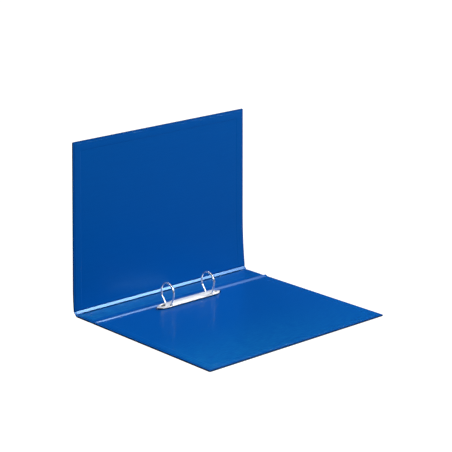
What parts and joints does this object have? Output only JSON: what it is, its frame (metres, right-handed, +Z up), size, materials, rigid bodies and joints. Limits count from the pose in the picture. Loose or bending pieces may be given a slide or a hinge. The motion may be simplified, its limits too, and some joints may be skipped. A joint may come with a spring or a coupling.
{
  "type": "two-ring binder",
  "caption": "Two-ring binder with film-covered board covers, a riveted ring mechanism and film hinges, shown with its back cover flat and its front cover upright.",
  "frame": {"origin": "bottom centre of the whole open binder, on the surface that it lies on", "axes": "+X along the binder's height, which is the direction of its folds; +Y from the back cover's free edge to the spine; +Z up"},
  "size_m": [0.34, 0.3026, 0.263],
  "materials": {
    "blue_film": "satin polypropylene film with a fine grain",
    "blue_lining": "satin polypropylene film with a fine linen grain",
    "grey_board": "recycled grey board",
    "nickel_plate": "bright nickel-plated sheet steel",
    "chrome_wire": "polished nickel-plated wire",
    "spring_steel": "plain plated strip steel"
  },
  "bodies": {
    "spine": {"spine_board": "grey_board", "spine_film": "blue_film", "spine_lining": "blue_lining"},
    "back_hinge": {"back_hinge_strip": "blue_film"},
    "back_cover": {"back_cover_board": "grey_board", "back_cover_film": "blue_film", "back_cover_lining": "blue_lining", "ring_plate": "nickel_plate", "post_left": "nickel_plate", "post_right": "nickel_plate", "rivet_left": "nickel_plate", "rivet_right": "nickel_plate"},
    "front_hinge": {"front_hinge_strip": "blue_film"},
    "front_cover": {"front_cover_board": "grey_board", "front_cover_film": "blue_film", "front_cover_lining": "blue_lining"},
    "fore_jaw": {"fore_blade": "spring_steel", "ring_left_fore_half": "chrome_wire", "ring_right_fore_half": "chrome_wire"},
    "spine_jaw": {"spine_blade": "spring_steel", "ring_left_spine_half": "chrome_wire", "ring_right_spine_half": "chrome_wire"}
  },
  "joints": [
    {"name": "back_inner_fold", "type": "hinge", "parent": "spine", "child": "back_hinge", "pos_m": [0, 0.11408, 0.0004], "axis": [-1, 0, 0], "range_deg": [0, 45]},
    {"name": "back_outer_fold", "type": "hinge", "parent": "back_hinge", "child": "back_cover", "pos_m": [0, 0.10475, 0.0004], "axis": [-1, 0, 0], "range_deg": [0, 45]},
    {"name": "front_inner_fold", "type": "hinge", "parent": "spine", "child": "front_hinge", "pos_m": [0, 0.14425, 0.0004], "axis": [1, 0, 0], "range_deg": [-45, 0]},
    {"name": "front_outer_fold", "type": "hinge", "parent": "front_hinge", "child": "front_cover", "pos_m": [0, 0.15085, 0.007], "axis": [1, 0, 0], "range_deg": [-45, 0]},
    {"name": "fore_jaw_hinge", "type": "hinge", "parent": "back_cover", "child": "fore_jaw", "pos_m": [0, 0.07985, 0.0042], "axis": [1, 0, 0], "range_deg": [0, 10.5]},
    {"name": "spine_jaw_hinge", "type": "hinge", "parent": "back_cover", "child": "spine_jaw", "pos_m": [0, 0.09585, 0.0042], "axis": [1, 0, 0], "range_deg": [-10.5, 0]}
  ],
  "couplings": [
    {"joint": "back_outer_fold", "follows": "back_inner_fold", "ratio": 1},
    {"joint": "front_outer_fold", "follows": "front_inner_fold", "ratio": 1},
    {"joint": "spine_jaw_hinge", "follows": "fore_jaw_hinge", "ratio": -1}
  ]
}
